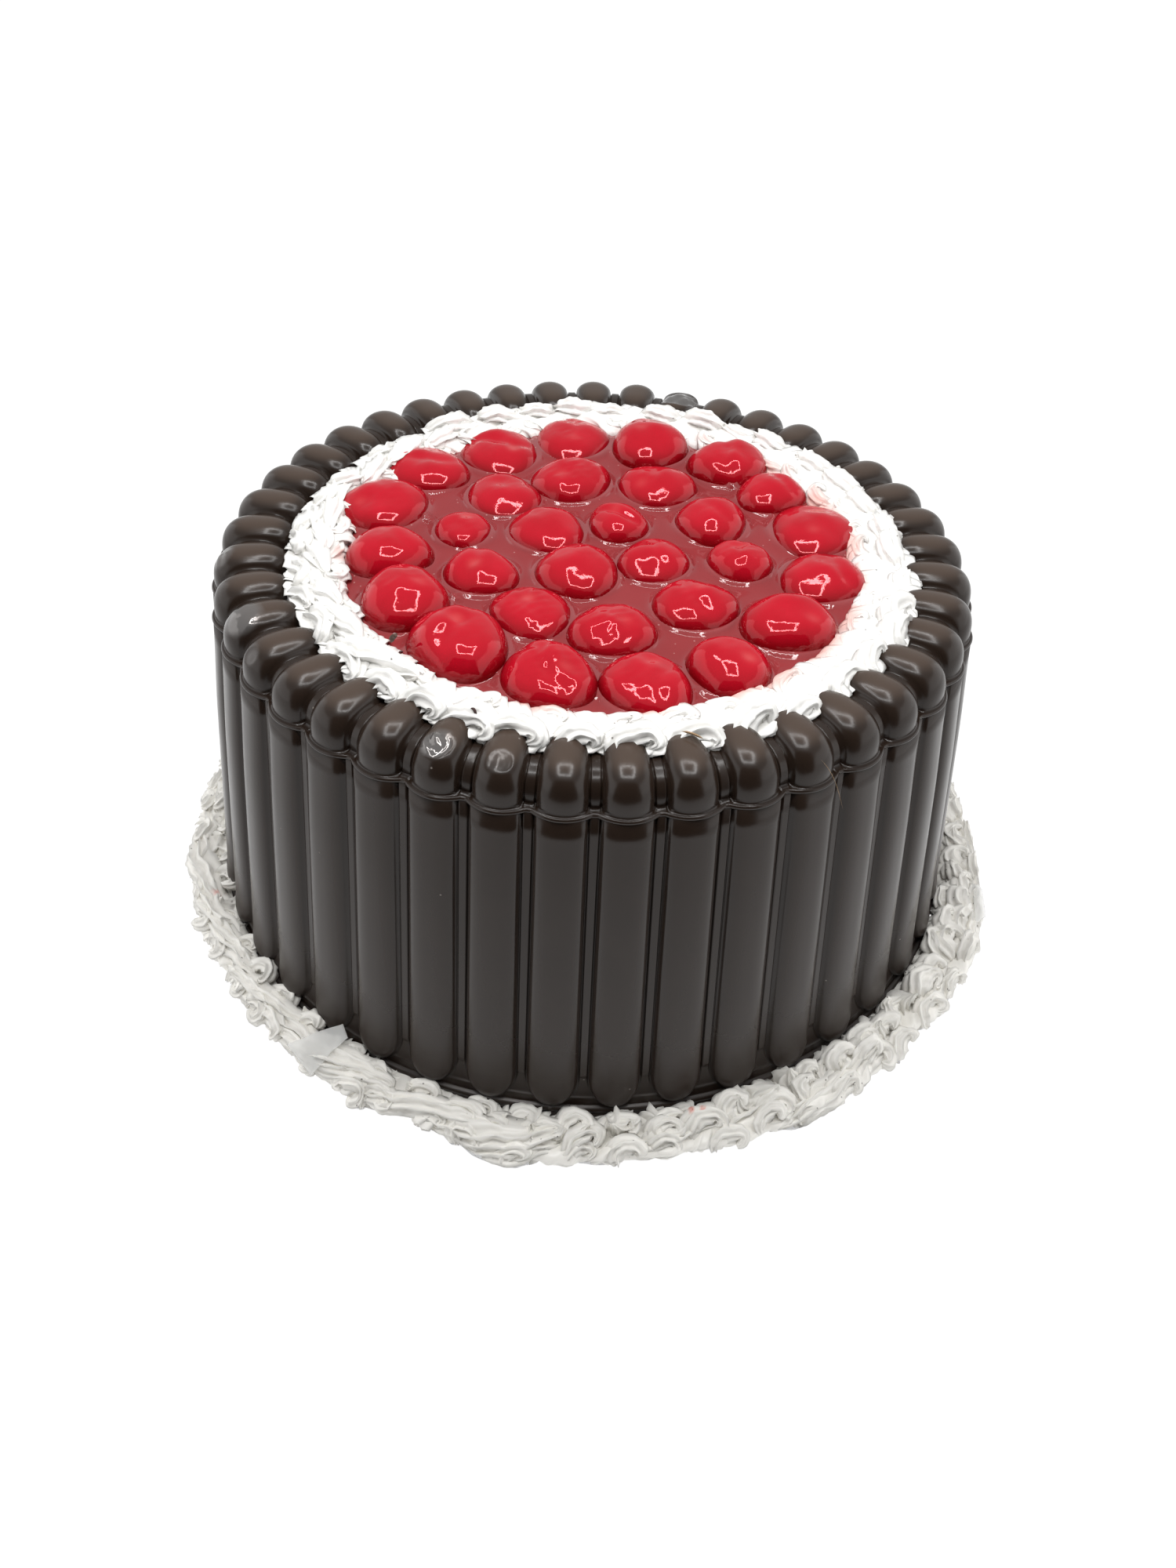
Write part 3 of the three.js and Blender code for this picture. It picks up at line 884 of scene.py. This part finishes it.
def cherries():
    """Squashed domes standing out of the jelly. From the rim to the crown each ring of points
    shrinks as a superellipse rises, with soft lumps, and a dent, scar or fold on some. With the
    skin come two marks: its scars, and painted shade that darkens each point by how low it lies."""
    centre, half, rise = cherry_shapes()
    count = len(half)
    each = (count, 1, 1)
    half = half.reshape(each)
    rng = np.random.default_rng(5)

    def pick(choices, odds):
        """One of the choices for each cherry, drawn with those odds."""
        return rng.choice(choices, count, p=odds).reshape(each)

    climb = np.linspace(0, np.pi / 2 * 0.97, 26)[None, :, None]
    turn = np.linspace(0, 2 * np.pi, 64, endpoint=False)[None, None, :]
    up = np.sin(climb)
    lobes = 1 + 0.05 * np.cos(2 * turn + rng.uniform(0, 6, each))
    lobes = lobes + 0.03 * np.cos(3 * turn + rng.uniform(0, 6, each))
    r = half * np.cos(climb) ** 0.92 * lobes
    x = r * np.sin(turn)
    y = -r * np.cos(turn)
    z = (rise.reshape(each) + CHERRY_SUNK) * up - CHERRY_SUNK
    place = np.stack(np.broadcast_arrays(x, y, z), -1) + 40 * np.arange(count)[:, None, None, None]
    lumps = LUMP_HEIGHT * drift(place, LUMP_LENGTH, 3, 2)
    lumps = lumps + pick([0.04, 0.08, 0.18], [0.5, 0.3, 0.2]) * drift(place, FINE_LENGTH, 4, 2)
    z = z + lumps * up
    dent_x, dent_y = rng.uniform(-0.45, 0.45, (count, 2)).T.reshape(2, *each) * half
    far = np.hypot(x - dent_x, y - dent_y)
    depth = pick([0.0, 0.5, 1.0], [0.35, 0.35, 0.3])
    z = z - DENT_DEPTH * depth * bell(far, 0, DENT_HALF)
    scar = 0.5 * depth * bell(far, 0, SCAR_HALF)
    way = rng.uniform(0, np.pi, each)
    aside = rng.uniform(-0.4, 0.4, each)
    beside = (x * np.cos(way) + y * np.sin(way)) / half - aside
    beside = beside + 0.12 * np.sin((x * np.sin(way) - y * np.cos(way)) / 3)
    fold = pick([0.0, 0.3, 0.6], [0.4, 0.35, 0.25])
    z = z - fold * (bell(beside, 0, FOLD_HALF) - 0.5 * bell(beside, 0.3, 0.2)) * up
    px = centre[:, :1, None] + x
    py = centre[:, 1:, None] + y
    points = np.stack([px, py, z + JELLY_LEVEL - FLOOR], -1)
    # Painted shade: darker red towards the rim, low down on each cherry
    low_shade = np.broadcast_to(smooth(0.85, 0.05, up), x.shape)
    return capped(points), {
        name: np.concatenate([mark.reshape(count, -1), mark[:, [0, -1]].mean(2)], 1)
        for name, mark in {"scar": scar, "low_shade": low_shade}.items()
    }


def jelly():
    """The jelly's surface: level, a little uneven, with bubbles that have a burst middle. It
    climbs each cherry in a small collar that dies away with distance, which is its mark."""
    centre, half, _ = cherry_shapes()
    radius = np.append(JELLY_RADIUS, np.linspace(JELLY_RADIUS, 0.3, 150))[:, None]
    turn = np.linspace(0, 2 * np.pi, 520, endpoint=False)[None]
    points = around(JELLY_OFFSET, radius, turn, 0.0)
    spots = zip(centre - AXIS, half)
    near = np.min([plan_distance(points, spot) - size for spot, size in spots], axis=0)
    collar = np.exp(-np.maximum(near, 0) / COLLAR_WIDTH)
    z = JELLY_LEVEL + collar + 0.12 * drift(points, 18, 8, 2)
    for x, y, size in BUBBLES:
        away = plan_distance(points, (x, y)) / size
        z = z + 0.7 * size * np.sqrt(np.clip(1 - away**2, 0, 1)) - 0.3 * size * (away < 0.45)
    z[0] = JELLY_EDGE
    points[..., 2] = z - FLOOR
    return capped(points), {"collar": with_ends(collar)}


# Stray pieces

# A straw, a dried stem, a dark speck and a hair: their two ends, a bow in the middle, their
# half-width and how pale they are. Places are measured from the wall's axis and the bead.
BITS = np.array([
    [20.8, -79.4, 11.0, 25.6, -81.4, 10.8, 0.5, 0.32, 1.0],
    [-25.4, -75.9, 11.8, -23.9, -77.6, 11.2, 0.9, 0.42, 0.0],
    [-46.8, -50.2, 9.6, -44.9, -52.6, 13.2, 1.2, 0.75, 0.1],
    [50.8, -86.4, 10.6, 56.6, -90.6, 0.5, 2.0, 0.05, 1.0],
])

# Corners of clear film on the foot's piping, measured from the wall's axis and the bead
FILMS = np.array([
    [[-75.2, -92.6, -91.4], [-67.9, -99.2, -95.4], [-58.9, -91.8, -88.0], [-60.8, -87.8, -87.8]],
    [[118.7, -22.2, -92.0], [117.5, -36.6, -94.0], [121.6, -32.4, -95.5], [121.8, -23.1, -93.0]],
])


def bits():
    """Stray bits on the top piping as thin ropes between two ends, bowed up in the middle. Their
    mark says how pale they are."""
    h = np.linspace(0, 1, 24)[None, :, None]
    first, last = BITS[:, None, :3], BITS[:, None, 3:6]
    path = first * (1 - h) + last * h + [*AXIS, -FLOOR]
    path[..., 2] += BITS[:, 6:7] * np.sin(np.pi * h[..., 0])
    width = BITS[:, 7:8] * np.minimum(1, 4 * np.minimum(h, 1.02 - h))[..., 0]
    over = np.broadcast_to([0.3, 0.9, 0.2], path.shape)
    skin, _ = ropes(path, over, width, np.zeros_like(width), 3, 9, uneven=0.05)
    return skin, {"pale": np.repeat(BITS[:, 8], len(skin[0]) // len(BITS))}


def films():
    """Scraps of clear film stuck to the piping: each is a blend of its four corners, bowed up
    in the middle, a quarter of a millimetre thick with a closed round edge."""
    corner = FILMS[:, None, None] + [*AXIS, -FLOOR]
    u = np.linspace(0, 1, 24)[None, :, None, None]
    edge = np.linspace(0, 2 * np.pi, 40, endpoint=False)[None, None, :, None]
    v = (1 + np.cos(edge)) / 2
    points = (1 - u) * ((1 - v) * corner[..., 0, :] + v * corner[..., 1, :])
    points = points + u * ((1 - v) * corner[..., 3, :] + v * corner[..., 2, :])
    points[..., 2] += (0.8 * np.sin(np.pi * u) + 0.12 * np.sin(edge))[..., 0]
    points[..., 2] += 0.5 * drift(points, 9, 71, 2)
    return capped(points)


# Stage, light and camera

CAMERA_REACH, CAMERA_TILT, CAMERA_ROLL = 406.45, 0.7395, 0.0446
LOOK_AT = np.array([1.032, 0.0, 19.8])
FOCAL_PIXELS, LONG_SIDE = 1680.74, 2000

WHITE = (1, 1, 1, 1)
SKY_LIGHT, SIDE_LIGHT = 0.60, 0.9
FLOOR_HALF = 4000
FLOOR_LIGHT = 0.88

# The dark card in front of the cake, and the square of strip lamps high over it
CARD_PLACE, CARD_HALF, CARD_HEIGHT = -340, 260, 480
LAMP_MIDDLE, LAMP_HEIGHT = -65, 430
LAMP_HALF, LAMP_STRIP, LAMP_WATTS = 105, 20, 0.29


def camera():
    """Looks along +Y and down at the cake, turned a little about its own line of sight."""
    ahead = np.array([0, np.cos(CAMERA_TILT), -np.sin(CAMERA_TILT)])
    right = np.array([1.0, 0, 0])
    up = np.cross(right, ahead)
    level, lean = np.cos(CAMERA_ROLL), np.sin(CAMERA_ROLL)
    turned = level * right + lean * up
    top = -lean * right + level * up
    place = (np.array([*AXIS, 0]) + LOOK_AT - CAMERA_REACH * ahead) * MM
    lens = bpy.data.cameras.new("camera")
    lens.lens = FOCAL_PIXELS / LONG_SIDE * lens.sensor_width
    lens.clip_start = 0.01
    shot = bpy.data.objects.new("camera", lens)
    rows = [[turned[i], top[i], -ahead[i], place[i]] for i in range(3)]
    shot.matrix_world = Matrix([*rows, [0, 0, 0, 1]])
    bpy.context.collection.objects.link(shot)
    bpy.context.scene.camera = shot


def lamp(name, place, width, depth):
    """A soft rectangular lamp at a place in plan, facing straight down."""
    light = bpy.data.lights.new(name, "AREA")
    light.shape = "RECTANGLE"
    light.size = width * MM
    light.size_y = depth * MM
    light.energy = LAMP_WATTS
    thing = bpy.data.objects.new(name, light)
    thing.location = Vector((*place, LAMP_HEIGHT)) * MM
    bpy.context.collection.objects.link(thing)


def sky():
    """An even pale sky, brighter low down on both sides."""
    world = bpy.data.worlds.new("sky")
    world.use_nodes = True
    air = Wire(world.node_tree)
    way = air.node("ShaderNodeSeparateXYZ", None, {0: air.node("ShaderNodeTexCoord")})
    beside = air.math("ABSOLUTE", way.output(0))
    side = beside.step(0.62, 0.67) * (1 - way.output(2).step(0.56, 0.62))
    strength = SKY_LIGHT + SIDE_LIGHT * side
    back = world.node_tree.nodes["Background"]
    back.inputs["Color"].default_value = WHITE
    world.node_tree.links.new(strength.socket, back.inputs["Strength"])
    bpy.context.scene.world = world


def sheet(name, corners, paint):
    """A flat four-cornered sheet of the stage, with its corners in millimetres."""
    mesh = bpy.data.meshes.new(name)
    mesh.from_pydata([Vector(corner) * MM for corner in corners], [], [(0, 1, 2, 3)])
    mesh.materials.append(paint.material)
    thing = bpy.data.objects.new(name, mesh)
    bpy.context.collection.objects.link(thing)
    return thing


def stage():
    """A plain pale floor, an even pale sky, a dark card in front that only reflections see, and
    a square of four strip lamps overhead."""
    square = [(-1, -1), (1, -1), (1, 1), (-1, 1)]
    paint = Finish(
        "floor", Roughness=0.9, Base_Color=(0.2, 0.2, 0.2, 1), Specular_IOR_Level=0.1,
        Emission_Color=WHITE, Emission_Strength=FLOOR_LIGHT
    )
    sheet("floor", [(x * FLOOR_HALF, y * FLOOR_HALF, 0) for x, y in square], paint)
    sky()
    paint = Finish("dark card", Roughness=0.9, Base_Color=(0.01, 0.01, 0.01, 1))
    corners = [(x * CARD_HALF, CARD_PLACE, (1 + z) / 2 * CARD_HEIGHT) for x, z in square]
    card = sheet("dark card", corners, paint)
    card.visible_camera = False
    for side in (-LAMP_HALF, LAMP_HALF):
        lamp("side strip", (side, LAMP_MIDDLE), LAMP_STRIP, 2 * LAMP_HALF)
        lamp("cross strip", (0, LAMP_MIDDLE + side), 2 * LAMP_HALF, LAMP_STRIP)
    bpy.context.scene.view_settings.view_transform = "Standard"


# Putting the cake together


def chocolate_case():
    """The case in two pieces: the wall and the rim of finger tips, whose tops are paler."""
    chocolate = chocolate_finish()
    wall, wear_and_highlight = column_wall()
    marks = {"wear_and_highlight": with_ends(wear_and_highlight)}
    make("column_wall", capped(wall), chocolate, ["finger_wall"], marks)
    rim, wear_and_highlight = finger_rim()
    # Paler brown towards the tops of the tips
    pale_top = 0.8 * smooth(8.4, 10.3, rim[..., 2] + FLOOR)
    marks = {"pale_top": with_ends(pale_top), "wear_and_highlight": with_ends(wear_and_highlight)}
    make("finger_rim", capped(rim), chocolate, ["finger_wall"], marks)


def piped_rings():
    """The two piped rings, whose parts share one finish in each."""
    top_cream = cream_finish("top cream", TOP_WHITE, dirt=0.25, grime_and_shade=0.06)
    for name, (skin, groove) in top_piping().items():
        marks = {"stain": jelly_stain(skin[0]), "groove": groove}
        make(name, skin, top_cream, ["top_piping"], marks)
    base_cream = cream_finish("base cream", BASE_WHITE, dirt=0.5, grime_and_shade=0.1)
    for name, (skin, groove) in base_piping().items():
        marks = {"stain": red_drops(skin[0]), "groove": groove}
        make(name, skin, base_cream, ["base_piping"], marks)


def cherries_in_jelly():
    """All the cherries as one piece, and the jelly round them."""
    skin, marks = cherries()
    make("cherry_set", skin, cherry_finish(), CHERRIES, marks)
    skin, marks = jelly()
    make("jelly_pool", skin, jelly_finish(), ["jelly"], marks)


def stray_pieces():
    """Bits and film, which stand for no solid."""
    skin, marks = bits()
    make("stray_bits", skin, straw_finish(), marks=marks)
    film = Finish("clear film", Roughness=0.2, Base_Color=CLEAR_FILM, Alpha=0.42)
    make("film_scraps", films(), film.material)


chocolate_case()
piped_rings()
cherries_in_jelly()
stray_pieces()
stage()
camera()
